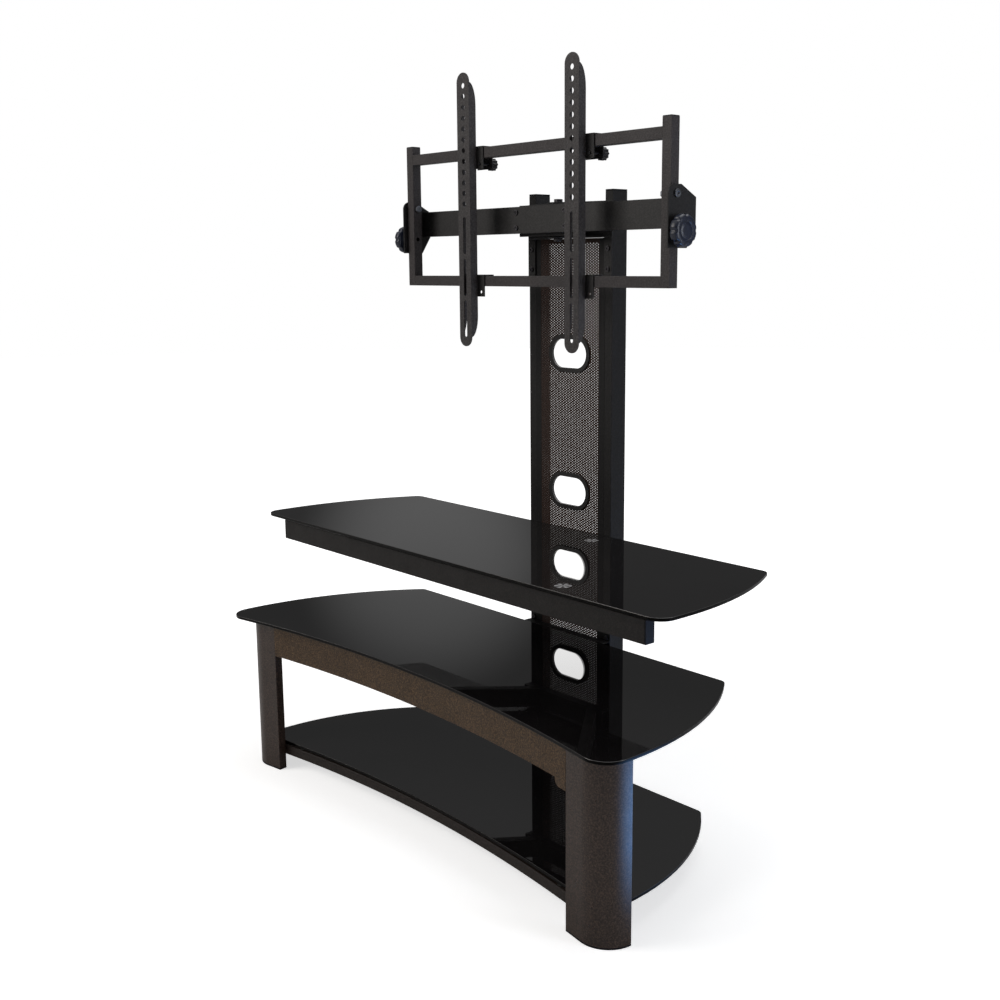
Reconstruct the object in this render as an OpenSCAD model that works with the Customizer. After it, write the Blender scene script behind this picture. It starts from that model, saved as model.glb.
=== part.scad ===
// TV stand: three glass shelves on a curved steel base, a perforated cable column behind them,
// and a swivelling, tilting mount frame with two sliding arms. All sizes are millimetres.
// X runs across the stand, Y to the back and Z up from the floor. The origin is the middle of the footprint.

/* [Glass shelves] */
// Thickness of every glass shelf
glass_t = 6; // [5:0.5:10]
// Height of the top shelf's upper face
top_shelf_z = 531.5; // [480:0.5:600]
// Greatest width of the top shelf
top_shelf_w = 1146; // [1060:1:1300]
// How much narrower the top shelf is along its rear edge than at its widest
top_shelf_taper = 156; // [80:1:260]
// Depth of the top shelf
top_shelf_d = 359; // [345:1:385]
// Distance from the rear edge to the widest place of the top shelf
top_shelf_widest = 305; // [250:1:310]
// Radius of the top shelf's front corners
top_shelf_corner = 30; // [15:1:34]
// Gap between the top shelf's rear edge and the column
top_shelf_gap = 1.5; // [1:0.5:8]
// Radius of the rear corners of all three shelves
rear_corner = 18; // [8:1:24]
// Height of the middle shelf's upper face
mid_shelf_z = 328; // [290:1:380]
// Greatest width of the middle shelf
mid_shelf_w = 1127; // [1110:1:1300]
// How much narrower the middle shelf is along its rear edge than at its widest
mid_shelf_taper = 254; // [160:1:380]
// Depth of the middle shelf at its front corners
mid_shelf_d = 426; // [416:1:450]
// Distance from the rear edge to the widest place of the middle shelf
mid_shelf_widest = 368; // [330:1:374]
// Radius of the middle shelf's front corners
mid_shelf_corner = 42; // [30:1:48]
// How far the middle shelf's front edge is drawn in at the centre
mid_shelf_sag = 51; // [36:1:60]
// Gap between the middle shelf's rear edge and the column
mid_shelf_gap = 38.5; // [30:0.5:45]
// Height of the bottom shelf's upper face
low_shelf_z = 59; // [55:1:80]
// Greatest width of the bottom shelf
low_shelf_w = 1028; // [960:1:1050]
// How much narrower the bottom shelf is along its rear edge than at its widest
low_shelf_taper = 273; // [160:1:380]
// Depth of the bottom shelf at its front corners
low_shelf_d = 386; // [378:1:390]
// Distance from the rear edge to the widest place of the bottom shelf
low_shelf_widest = 340; // [300:1:342]
// Radius of the bottom shelf's front corners
low_shelf_corner = 40; // [25:1:42]
// How far the bottom shelf's front edge is drawn in at the centre
low_shelf_sag = 35; // [25:1:42]
// Gap between the bottom shelf's rear edge and the column
low_shelf_gap = 25; // [23:1:35]
// Diameter of the clear pads under the glass
pad_d = 24; // [14:1:28]
// Thickness of the pads under the top shelf
top_pad_t = 7.5; // [2:0.5:9]
// Thickness of the pads under the middle shelf
mid_pad_t = 2.5; // [1.5:0.5:5]
// Thickness of the pads under the bottom shelf
low_pad_t = 2; // [1.5:0.5:4]

/* [Legs and apron] */
// Clear width between the two front legs
leg_spread = 878; // [820:1:900]
// Width of a leg's flat front face
leg_face = 41; // [36:1:55]
// Radius of a leg's rounded outer corner
leg_corner = 53; // [40:1:58]
// Thickness of a leg from front to back
leg_t = 18; // [12:0.5:22]
// Wall of the leg section
leg_wall = 2; // [1.5:0.25:3]
// Thickness of the plastic glides under legs and uprights
glide_t = 3; // [2:0.5:6]
// Height of the curved apron under the middle shelf
apron_h = 67; // [46:1:80]
// How far the apron's ends stand in front of its centre
apron_sag = 33.5; // [22:0.5:44]
// How far the apron's centre lies behind the glass edge above it
apron_setback = 18; // [10:1:22]
// Height of the round-cornered lug under each end of the apron
apron_lug_h = 14; // [8:1:24]
// Length of that lug
apron_lug_w = 30; // [20:1:45]
// Height of the curved rail under the bottom shelf
rail_h = 20; // [14:1:24]
// Depth of that rail
rail_d = 20; // [14:1:26]
// How far that rail runs behind each leg
rail_lap = 36; // [26:1:38]
// Wall of the bent sheet in the apron and rail
sheet_t = 2; // [1.5:0.25:3]

/* [Shelf supports] */
// Height of the rectangular support tube
tube_h = 40; // [30:1:44]
// Depth of the rectangular support tube
tube_d = 20; // [15:1:24]
// Wall of all the square and rectangular tube
tube_wall = 1.5; // [1:0.25:2.5]
// Length of the front bar under the top shelf
bar_l = 1050; // [900:1:1080]
// How far the front bar lies behind the glass edge
bar_setback = 18.5; // [8:0.5:24]
// Sideways place of the struts at the column
strut_rear_x = 86; // [70:1:92]
// Sideways place of the struts at the front members
strut_front_x = 345; // [280:1:380]

/* [Column] */
// Width of the column over both uprights
column_w = 232; // [200:1:260]
// Width of an upright tube
upright_w = 20; // [18:1:24]
// Depth of an upright tube
upright_d = 38; // [30:1:50]
// Height of the uprights with their caps
column_z = 1190; // [1180:1:1230]
// Thickness of the flange of a tube cap
cap_t = 3; // [2:0.5:5]
// How far a tube cap's plug reaches into its tube
cap_plug = 12; // [8:1:20]
// Thickness of the perforated panel
panel_t = 1.2; // [1:0.1:2]
// Solid border of the perforated panel at each side
panel_border = 15; // [12:1:22]
// Depth of the panel's side returns
panel_return = 14; // [8:1:25]
// Height of the panel's lower edge
panel_bottom = 70; // [64:1:90]
// Diameter of a perforation
perf_d = 8; // [5:0.5:10]
// Distance between perforations across the panel
perf_pitch_x = 20; // [16:1:24]
// Distance between perforation rows
perf_pitch_z = 24; // [20:1:32]
// Width of a cable hole inside its grommet
cable_w = 96; // [80:1:104]
// Height of a cable hole inside its grommet
cable_h = 56; // [40:1:64]
// Width of the grommet's rim
grommet_rim = 9; // [7:0.5:12]
// Height of the upper cable hole's centre
cable_high_z = 881; // [800:1:940]
// Distance of the middle cable hole above the top shelf
cable_over_top = 76; // [60:1:120]
// Distance of the lower cable hole above the middle shelf
cable_over_mid = 82; // [60:1:100]

/* [Swivel] */
// Distance of the swivel axis in front of the column
swivel_reach = 30; // [28:1:40]
// Thickness of the swivel plates
swivel_plate_t = 3; // [2:0.25:4]
// Radius of the swivel plates' noses
swivel_nose = 20; // [16:1:22]
// Diameter of the swivel bolt
swivel_bolt_d = 10; // [8:1:12]
// Width of the yoke behind the beam
yoke_w = 160; // [150:1:180]
// Thickness of the nylon washers between the swivel plates
washer_t = 1; // [0.8:0.1:2]

/* [Beam and side plates] */
// Height of the beam's centre line
beam_z = 1137; // [1130:1:1145]
// Height of the beam
beam_h = 50; // [44:1:52]
// Depth of the beam
beam_d = 20; // [16:1:22]
// Distance from the swivel axis forward to the beam's rear face
beam_reach = 28; // [26:1:34]
// Thickness of the side plates
side_plate_t = 3; // [2.5:0.25:5]
// Distance of a side plate's front edge in front of the beam's front face
side_plate_reach = 49; // [46:1:56]
// Height of a side plate's upper edge above the beam's centre line
side_plate_up = 45; // [40:1:50]
// Depth of a side plate's lower edge below the beam's centre line
side_plate_down = 59; // [55:1:64]
// Diameter of the tilt pivot bolts
pivot_d = 8; // [6:0.5:10]
// Height of the tilt pivots above the beam's centre line
pivot_rise = 30; // [28:1:32]
// Distance of the clamp knobs below the pivots
knob_drop = 61; // [58:1:64]
// Greatest tilt with the screen facing down, in degrees
tilt_down = 15; // [5:1:15]
// Greatest tilt with the screen facing up, in degrees
tilt_up = 5; // [2:1:6]
// Diameter of the tilt clamp knobs
knob_d = 55; // [44:1:60]
// Thickness of the tilt clamp knobs
knob_t = 24; // [16:1:30]

/* [Mount frame] */
// Width of the tilting frame
frame_w = 723; // [680:1:760]
// Size of the frame's square tube
frame_tube = 20; // [18:0.5:22]
// How far the frame's lower edge hangs below the beam's centre line
frame_drop = 125; // [115:1:136]
// Length of the frame's side tubes
frame_h = 278; // [270:1:290]
// Distance from the top of the side tubes down to the top bar
frame_ears = 15.5; // [10:0.5:22]
// Running gap between pieces that turn or slide past each other
running_gap = 0.3; // [0.2:0.05:0.5]

/* [Screen arms] */
// Distance between the two screen arms' hole lines
screen_hole_x = 300; // [280:10:400]
// Sideways place of the middle between the arms
arms_offset = -3; // [-10:1:10]
// Length of a screen arm
arm_l = 518; // [500:1:560]
// Width of a screen arm
arm_w = 36; // [30:1:40]
// Depth of a screen arm's flanges with its face
arm_d = 17; // [14:1:22]
// Sheet thickness of arms and clips
arm_t = 2; // [1.5:0.25:2.5]
// How far a screen arm's lower end hangs below the frame's lower edge
arm_drop = 117; // [104:1:132]
// Distance between the round holes
arm_pitch = 20; // [19:0.5:22]
// Number of round holes in an arm
arm_holes = 12; // [11:1:12]
// Diameter of the round holes
arm_hole_d = 10; // [6:0.5:11]
// Distance from an arm's upper end to its first hole
arm_hole_top = 24; // [18:1:30]
// Length of a slot
slot_l = 71; // [50:1:74]
// Width of a slot
slot_w = 8; // [5:0.5:9]
// Number of slots in an arm
arm_slots = 3; // [2:1:3]
// Length over which an arm's flanges fade out at each end
arm_fade = 60; // [40:1:80]
// Width of the clips behind an arm
clip_w = 44; // [36:1:50]
// How far a clip stands out past the arm's side
clip_out = 20; // [14:1:24]
// How far a clip's tab reaches past its bar
clip_tab = 20; // [16:1:26]
// Diameter of the thumb knobs
thumb_d = 23; // [16:1:26]
// Thickness of the thumb knobs
thumb_t = 12; // [8:1:16]

/* [Hidden] */

black = [0.13, 0.125, 0.125];
bronze = [0.27, 0.235, 0.205];
glass_black = [0.05, 0.05, 0.055];
rubber = [0.07, 0.07, 0.075];
clear = [0.82, 0.84, 0.85];
zinc = [0.62, 0.63, 0.65];

// One overrun serves every cut, and a small fit clearance every plug
cut = 1;
fit = 0.1;
fine = 96;
small = 32;

// Places along Y: the footprint runs from the middle shelf's front corners to the back of the column
reach = mid_shelf_gap + mid_shelf_d;
bolt_head_t = 2.5;
col_y = (reach - upright_d - bolt_head_t) / 2;
col_back_y = col_y + upright_d;
column_half = column_w / 2;
inner_half = column_half - upright_w;
tube_top = column_z - cap_t;

// Shelf outlines. phi is how far the front corner turns past square to meet the drawn-in front edge.
side_steps = 14;
rear_steps = 6;
corner_steps = 10;
front_steps = 12;
function side_radius(half, rear, widest) = (widest * widest + (half - rear) * (half - rear)) / (2 * (half - rear));
function phi(w, corner, sag) = 2 * atan(sag / (w / 2 - corner));
function front_x(w, corner, sag) = w / 2 - corner - corner * sin(phi(w, corner, sag));
function front_y(w, d, corner, sag) = -(d - corner) - corner * cos(phi(w, corner, sag));
function front_r(w, corner, sag) = front_x(w, corner, sag) / sin(phi(w, corner, sag));
function centre_y(w, d, corner, sag) = front_y(w, d, corner, sag)
    + front_r(w, corner, sag) * (1 - cos(phi(w, corner, sag)));
function side_angle(half, rear, widest) = asin(widest / side_radius(half, rear, widest));
function rear_run(half, rear, widest) = rear_corner * tan((90 - side_angle(half, rear, widest)) / 2);
function rear_points(half, rear, widest) = let (x = rear - rear_run(half, rear, widest), a = side_angle(half, rear, widest))
    [for (i = [0:rear_steps]) let (b = 90 - (90 - a) * i / rear_steps)
        [x + rear_corner * cos(b), rear_corner * (sin(b) - 1)]];
function side_points(half, rear, widest) = let (r = side_radius(half, rear, widest),
    start = rear_run(half, rear, widest) * cos(side_angle(half, rear, widest)))
    [for (i = [1:side_steps]) let (y = start + (widest - start) * i / side_steps)
        [half - r + sqrt(r * r - (widest - y) * (widest - y)), -y]];
function corner_points(w, d, corner, turn) = [for (i = [0:corner_steps]) let (a = -turn * i / corner_steps)
    [w / 2 - corner + corner * cos(a), -(d - corner) + corner * sin(a)]];
function front_points(w, d, corner, sag) = sag == 0 ? [] : let (r = front_r(w, corner, sag))
    [for (i = [1:front_steps - 1]) let (a = phi(w, corner, sag) * (1 - i / front_steps))
        [r * sin(a), centre_y(w, d, corner, sag) - r * (1 - cos(a))]];
function half_outline(w, rear_w, d, widest, corner, sag) = concat(rear_points(w / 2, rear_w / 2, widest),
    side_points(w / 2, rear_w / 2, widest),
    corner_points(w, d, corner, 90 + phi(w, corner, sag)), front_points(w, d, corner, sag));
function mirrored(points) = [for (i = [len(points) - 1:-1:0]) [-points[i][0], points[i][1]]];

// Front edges at the centre of the two drawn-in shelves
mid_edge_y = col_y - mid_shelf_gap + centre_y(mid_shelf_w, mid_shelf_d, mid_shelf_corner, mid_shelf_sag);
low_edge_y = col_y - low_shelf_gap + centre_y(low_shelf_w, low_shelf_d, low_shelf_corner, low_shelf_sag);

// The apron is part of a ring whose centre lies far in front, and each leg goes on along its tangent
leg_x = leg_spread / 2;
leg_top = mid_shelf_z - glass_t - mid_pad_t;
leg_h = leg_top - glide_t;
apron_z = leg_top - apron_h;
apron_y = mid_edge_y + apron_setback;
apron_r = (leg_x * leg_x + apron_sag * apron_sag) / (2 * apron_sag);
apron_turn = asin(leg_x / apron_r);
ring_y = apron_y - apron_r;
lug_corner = apron_lug_h * 0.85;

// The rail under the bottom shelf touches the back of both legs
rail_z = low_shelf_z - glass_t - low_pad_t - rail_h;
rail_end_x = leg_x + rail_lap;
touch_x = leg_x + rail_lap / 2;
leg_back_y = ring_y + (apron_r + leg_t) * cos(apron_turn) + leg_t * sin(apron_turn) * tan(apron_turn);
touch_y = ring_y + (apron_r + leg_t) / cos(apron_turn) - touch_x * tan(apron_turn);
rail_sag = low_edge_y - touch_y;
rail_r = (touch_x * touch_x + rail_sag * rail_sag) / (2 * rail_sag);
rail_turn = asin(rail_end_x / rail_r);

// Support levels: the tubes' lower faces
top_support_z = top_shelf_z - glass_t - top_pad_t - tube_h;
mid_support_z = leg_top - tube_h;
bar_y = col_y - top_shelf_gap - top_shelf_d + bar_setback;
bar_back_y = bar_y + tube_d;
cross_y = col_y - tube_d;
pad_r = pad_d / 2;

// Panel and cable holes
bracket_z = beam_z - beam_h / 2 - washer_t - 3 * swivel_plate_t;
bracket_top = beam_z + beam_h / 2 + washer_t + 2 * swivel_plate_t;
panel_top = bracket_z - running_gap;
panel_w = 2 * inner_half;
hole_clear = 2.5;
panel_hole_w = cable_w + 2 * hole_clear;
panel_hole_h = cable_h + 2 * hole_clear;
grommet_lip = 2.5;
cable_z = [cable_high_z, top_shelf_z + cable_over_top, mid_shelf_z + cable_over_mid];
perf_margin = 8;
perf_cols = floor((panel_w - 2 * panel_border - perf_d) / perf_pitch_x);
perf_rows = floor((panel_top - panel_bottom - 2 * panel_border) / perf_pitch_z);

// Swivel
axis_y = col_y - swivel_reach;
strap_l = 75;
strap_edge = 20;
strap_bolt_gap = 38.5;
bolt_head_r = 5;
bolt_r = 3;
mid_bolt_z = leg_top + bolt_head_r + running_gap;
swivel_head_t = 6;
swivel_head_r = 8.5;
yoke_t = 3;
yoke_low_z = bracket_z + swivel_plate_t + washer_t;
yoke_high_z = bracket_top - swivel_plate_t - washer_t;
beam_back_y = axis_y - beam_reach;
beam_front_y = beam_back_y - beam_d;
beam_bolt_x = 67;
beam_bolt_z = 14.5;

// Tilt
plate_x = frame_w / 2 + 1.5;
plate_front_y = beam_front_y - side_plate_reach;
plate_corner = 15;
plate_slant = 32;
frame_y = beam_front_y - 2 * frame_tube + 0.5;
pivot_y = frame_y + frame_tube / 2;
pivot_z = beam_z + pivot_rise;
knob_z = pivot_z - knob_drop;
pivot_r = pivot_d / 2;
stud_r = 4;
slot_gap = 0.4;
pivot_gap = 0.06;
pivot_head_r = 7;
pivot_head_t = 4;
nut_r = 7;
nut_t = 6;
knob_lobes = 8;
knob_lobe_r = knob_d * 0.115;
knob_core_r = knob_d / 2 - knob_lobe_r * 0.75;
knob_neck_r = knob_d * 0.26;
knob_neck_t = knob_t * 0.3;
knob_dish_r = knob_d * 0.24;
knob_dish = 2.5;
frame_bottom_z = beam_z - frame_drop;
frame_top = frame_bottom_z + frame_h;
top_bar_z = frame_top - frame_ears - frame_tube;
bar_len = frame_w - 2 * frame_tube;

// Screen arms, their clips and thumb knobs
arm_xs = [arms_offset - screen_hole_x / 2, arms_offset + screen_hole_x / 2];
clip_front_y = frame_y - running_gap - arm_t;
arm_y = clip_front_y - arm_d;
arm_bottom_z = frame_bottom_z - arm_drop;
arm_top = arm_bottom_z + arm_l;
first_hole_z = arm_top - arm_hole_top;
slot_pitch = 4 * arm_pitch;
first_slot_z = first_hole_z - (arm_holes - 1) * arm_pitch - 3 * arm_pitch;
flange_start = arm_w / 2;
clip_back_y = frame_y + frame_tube + running_gap;
clip_over = running_gap + arm_t;
thumb_screw_r = 2.5;
thumb_drop = clip_tab * 0.55;
thumb_gap = 0.05;
thumb_lobes = 10;
thumb_x = arm_w / 2 + clip_out / 2;
bottom_hole_r = 3;

module bar_x(l, d, h, wall) {
    translate([-l / 2, 0, 0])
        difference() {
            cube([l, d, h]);
            translate([-cut, wall, wall])
                cube([l + 2 * cut, d - 2 * wall, h - 2 * wall]);
        }
}

module bar_z(w, d, l, wall) {
    difference() {
        cube([w, d, l]);
        translate([wall, wall, -cut])
            cube([w - 2 * wall, d - 2 * wall, l + 2 * cut]);
    }
}

module along_y(l) {
    rotate([-90, 0, 0])
        linear_extrude(l)
            mirror([0, 1])
                children();
}

module along_x(l) {
    rotate([90, 0, 90])
        linear_extrude(l)
            children();
}

module obround(w, h) {
    square([w - h, h], center = true);
    for (s = [-1, 1])
        translate([s * (w - h) / 2, 0])
            circle(d = h, $fn = fine);
}

module hex_socket(r, d) {
    translate([0, 0, -cut])
        linear_extrude(d + cut)
            polygon([for (i = [0:5]) [r * cos(60 * i), r * sin(60 * i)]]);
}

module screw(r, head_r, head_t, l) {
    difference() {
        cylinder(r = head_r, h = head_t, $fn = small);
        hex_socket(head_r * 0.52, head_t * 0.6);
    }
    translate([0, 0, head_t])
        cylinder(r = r, h = l, $fn = small);
}

// Legs and apron
module at_leg() {
    translate([0, ring_y, 0])
        rotate([0, 0, -apron_turn])
            translate([0, apron_r, 0])
                children();
}

module leg_section(inset, h) {
    translate([inset, inset, 0])
        cube([leg_face - inset, leg_t - 2 * inset, h]);
    translate([leg_face, leg_corner, 0])
        rotate([0, 0, -90])
            rotate_extrude(angle = 90 + apron_turn - (inset > 0 ? 3 * inset : 0), $fn = fine)
                translate([leg_corner - leg_t + inset, 0])
                    square([leg_t - 2 * inset, h]);
}

module leg() {
    translate([0, 0, glide_t])
        at_leg()
            difference() {
                leg_section(0, leg_h);
                translate([0, 0, -cut])
                    leg_section(leg_wall, leg_h - leg_wall + cut);
            }
}

module leg_glide() {
    at_leg() {
        leg_section(0, glide_t);
        leg_section(leg_wall + fit, glide_t + cap_plug);
    }
}

module right_leg() {
    color(bronze)
        leg();
}

module left_leg() {
    color(bronze)
        mirror([1, 0, 0])
            leg();
}

module leg_glides() {
    color(rubber) {
        leg_glide();
        mirror([1, 0, 0])
            leg_glide();
    }
}

module ring_strip(r, turn, d, z, h) {
    translate([0, 0, z])
        rotate([0, 0, 90 - turn])
            rotate_extrude(angle = 2 * turn, $fn = 16 * fine)
                translate([r, 0])
                    square([d, h]);
}

module apron_lug() {
    at_leg()
        translate([0, sheet_t, 0])
            rotate([90, 0, 0])
                linear_extrude(sheet_t) {
                    translate([-apron_lug_w, apron_z - apron_lug_h + lug_corner])
                        square([apron_lug_w, apron_lug_h - lug_corner + sheet_t]);
                    translate([lug_corner - apron_lug_w, apron_z - apron_lug_h])
                        square([apron_lug_w - lug_corner, apron_lug_h]);
                    translate([lug_corner - apron_lug_w, apron_z - apron_lug_h + lug_corner])
                        circle(lug_corner, $fn = fine);
                }
}

module front_apron() {
    color(bronze) {
        translate([0, ring_y, 0])
            difference() {
                ring_strip(apron_r, apron_turn, leg_t, apron_z, apron_h);
                ring_strip(apron_r + sheet_t, 2 * apron_turn, leg_t, apron_z + sheet_t, apron_h - 2 * sheet_t);
            }
        apron_lug();
    }
}

module leg_front_space() {
    at_leg()
        translate([-leg_face, -2 * leg_t, 0])
            cube([2 * leg_face + leg_corner, 3 * leg_t, leg_top]);
}

module lower_front_rail() {
    color(bronze)
        difference() {
            translate([0, low_edge_y - rail_r, 0])
                difference() {
                    ring_strip(rail_r, rail_turn, rail_d, rail_z, rail_h);
                    ring_strip(rail_r + sheet_t, 2 * rail_turn, rail_d, rail_z + sheet_t, rail_h - 2 * sheet_t);
                }
            leg_front_space();
            mirror([1, 0, 0])
                leg_front_space();
        }
}

// Struts run from a cross bar on the column to the member at the front
module strut_plan(x0, y0, x1, y1, w) {
    k = w / 2 / cos(atan2(x1 - x0, y0 - y1));
    polygon([[x0 - k, y0], [x0 + k, y0], [x1 + k, y1], [x1 - k, y1]]);
}

module strut(x0, y0, x1, y1, z, h) {
    over_share = cut / (y0 - y1);
    over_x = (x1 - x0) * over_share;
    translate([0, 0, z])
        difference() {
            linear_extrude(h)
                strut_plan(x0, y0, x1, y1, tube_d);
            translate([0, 0, tube_wall])
                linear_extrude(h - 2 * tube_wall)
                    strut_plan(x0 - over_x, y0 + cut, x1 + over_x, y1 - cut, tube_d - 2 * tube_wall);
        }
}

module top_strut() {
    strut(strut_rear_x, cross_y, strut_front_x, bar_back_y, top_support_z, tube_h);
}

module mid_strut() {
    difference() {
        strut(strut_rear_x, cross_y, strut_front_x + tube_h, apron_y - apron_sag, mid_support_z, tube_h);
        translate([0, ring_y, 0])
            cylinder(r = apron_r + leg_t, h = top_shelf_z, $fn = 16 * fine);
    }
}

module low_strut() {
    difference() {
        strut(strut_rear_x, cross_y, strut_front_x + tube_h, low_edge_y - rail_sag, rail_z, rail_h);
        translate([0, low_edge_y - rail_r, 0])
            cylinder(r = rail_r + rail_d, h = mid_shelf_z, $fn = 16 * fine);
    }
}

module top_left_strut() {
    color(black)
        mirror([1, 0, 0])
            top_strut();
}

module top_right_strut() {
    color(black)
        top_strut();
}

module middle_left_strut() {
    color(black)
        mirror([1, 0, 0])
            mid_strut();
}

module middle_right_strut() {
    color(black)
        mid_strut();
}

module lower_left_strut() {
    color(black)
        mirror([1, 0, 0])
            low_strut();
}

module lower_right_strut() {
    color(black)
        low_strut();
}

module cross_bar(z, h) {
    color(black)
        translate([0, cross_y, z])
            bar_x(column_w, tube_d, h, tube_wall);
}

module top_cross_bar() {
    cross_bar(top_support_z, tube_h);
}

module middle_cross_bar() {
    cross_bar(mid_support_z, tube_h);
}

module lower_cross_bar() {
    cross_bar(rail_z, rail_h);
}

module top_front_bar() {
    color(black)
        translate([0, bar_y, top_support_z])
            bar_x(bar_l - 2 * cap_t, tube_d, tube_h, tube_wall);
}

module front_bar_caps() {
    plug_x = bar_l / 2 - cap_t;
    inset = tube_wall + fit;
    color(black)
        for (s = [0, 1])
            mirror([s, 0, 0])
                translate([plug_x, bar_y, top_support_z]) {
                    cube([cap_t, tube_d, tube_h]);
                    translate([-cap_plug, inset, inset])
                        cube([cap_plug, tube_d - 2 * inset, tube_h - 2 * inset]);
                }
}

// Glass and its pads
module shelf(points, y, z) {
    color(glass_black)
        translate([0, y, z - glass_t])
            linear_extrude(glass_t)
                polygon(concat(points, mirrored(points)));
}

module top_glass() {
    shelf(half_outline(top_shelf_w, top_shelf_w - top_shelf_taper, top_shelf_d, top_shelf_widest, top_shelf_corner, 0),
        col_y - top_shelf_gap, top_shelf_z);
}

module middle_glass() {
    shelf(half_outline(mid_shelf_w, mid_shelf_w - mid_shelf_taper, mid_shelf_d, mid_shelf_widest, mid_shelf_corner,
        mid_shelf_sag), col_y - mid_shelf_gap, mid_shelf_z);
}

module lower_glass() {
    shelf(half_outline(low_shelf_w, low_shelf_w - low_shelf_taper, low_shelf_d, low_shelf_widest, low_shelf_corner,
        low_shelf_sag), col_y - low_shelf_gap, low_shelf_z);
}

module pads(places, z, t, d) {
    color(clear)
        for (p = places, s = [-1, 1])
            translate([s * p[0], p[1], z - glass_t - t])
                cylinder(d = d, h = t, $fn = small);
}

function along_strut(x1, y1, share) = [strut_rear_x + (x1 - strut_rear_x) * share, cross_y + (y1 - cross_y) * share];

module top_glass_pads() {
    pads([along_strut(strut_front_x, bar_back_y, 0.06), along_strut(strut_front_x, bar_back_y, 0.95),
        [strut_front_x, bar_y + tube_d / 2]], top_shelf_z, top_pad_t, tube_d * 0.9);
}

module middle_glass_pads() {
    pads([[leg_x + leg_face, apron_y - apron_sag + leg_t / 2], [leg_x * 0.5, ring_y + leg_t / 2
        + apron_r * cos(asin(leg_x * 0.5 / apron_r))],
        along_strut(strut_front_x + tube_h, apron_y - apron_sag, 0.15)], mid_shelf_z, mid_pad_t, leg_t * 0.8);
}

module lower_glass_pads() {
    pads([[leg_x * 0.9, low_edge_y - rail_r + rail_d / 2 + rail_r * cos(asin(leg_x * 0.9 / rail_r))],
        [leg_x * 0.4, low_edge_y - rail_r + rail_d / 2 + rail_r * cos(asin(leg_x * 0.4 / rail_r))],
        along_strut(strut_front_x + tube_h, low_edge_y - rail_sag, 0.15)], low_shelf_z, low_pad_t, rail_d * 0.8);
}

// Column
module upright() {
    translate([inner_half, col_y, glide_t])
        bar_z(upright_w, upright_d, tube_top - glide_t, tube_wall);
}

module right_upright() {
    color(black)
        upright();
}

module left_upright() {
    color(black)
        mirror([1, 0, 0])
            upright();
}

module upright_end(z, t, plug_z) {
    inset = tube_wall + fit;
    for (s = [0, 1])
        mirror([s, 0, 0]) {
            translate([inner_half, col_y, z])
                cube([upright_w, upright_d, t]);
            translate([inner_half + inset, col_y + inset, plug_z])
                cube([upright_w - 2 * inset, upright_d - 2 * inset, cap_plug]);
        }
}

module upright_caps() {
    color(rubber)
        upright_end(tube_top, cap_t, tube_top - cap_plug);
}

module upright_glides() {
    color(rubber)
        upright_end(0, glide_t, glide_t);
}

function clear_of_cables(x, z) = min([for (c = cable_z)
    max(abs(z - c) - panel_hole_h / 2, abs(x) - panel_hole_w / 2)]) > perf_margin + perf_d / 2;

module perforations() {
    for (i = [0:perf_rows], j = [0:perf_cols]) {
        x = (j - perf_cols / 2 + (i % 2 - 0.5) / 2) * perf_pitch_x;
        z = (panel_top + panel_bottom) / 2 + (i - perf_rows / 2) * perf_pitch_z;
        if (clear_of_cables(x, z))
            translate([x, z])
                circle(d = perf_d, $fn = small);
    }
}

module mesh_panel() {
    h = panel_top - panel_bottom;
    color(black) {
        translate([0, col_y, 0])
            along_y(panel_t)
                difference() {
                    translate([-panel_w / 2, panel_bottom])
                        square([panel_w, h]);
                    for (z = cable_z)
                        translate([0, z])
                            obround(panel_hole_w, panel_hole_h);
                    perforations();
                }
        for (x = [-panel_w / 2, panel_w / 2 - panel_t])
            translate([x, col_y, panel_bottom])
                cube([panel_t, panel_return, h]);
    }
}

module grommet_ring(w, h, y, t) {
    translate([0, y, 0])
        along_y(t)
            difference() {
                obround(w, h);
                obround(cable_w, cable_h);
            }
}

module cable_grommets() {
    rim_w = cable_w + 2 * grommet_rim;
    rim_h = cable_h + 2 * grommet_rim;
    sleeve = hole_clear - running_gap;
    color(rubber)
        for (z = cable_z)
            translate([0, col_y, z]) {
                grommet_ring(rim_w, rim_h, -grommet_lip, grommet_lip);
                grommet_ring(cable_w + 2 * sleeve, cable_h + 2 * sleeve, -grommet_lip, panel_t + 2 * grommet_lip);
                grommet_ring(rim_w, rim_h, panel_t, grommet_lip);
            }
}

// Swivel: a bracket with two plates on the column, and a yoke between them that carries the beam
module nose_plate(half_w, y0, z) {
    k = swivel_nose;
    translate([0, 0, z])
        difference() {
            linear_extrude(swivel_plate_t) {
                polygon([[-half_w, y0], [half_w, y0], [k, axis_y], [-k, axis_y]]);
                translate([0, axis_y])
                    circle(k, $fn = fine);
            }
            translate([0, axis_y, -cut])
                cylinder(d = swivel_bolt_d + 2 * pivot_gap, h = swivel_plate_t + 2 * cut, $fn = small);
        }
}

module strap_bolt_places() {
    for (s = [-1, 1], k = [0, 1])
        translate([s * (column_half - upright_w / 2), 0, bracket_z - strap_edge - k * strap_bolt_gap])
            children();
}

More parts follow.
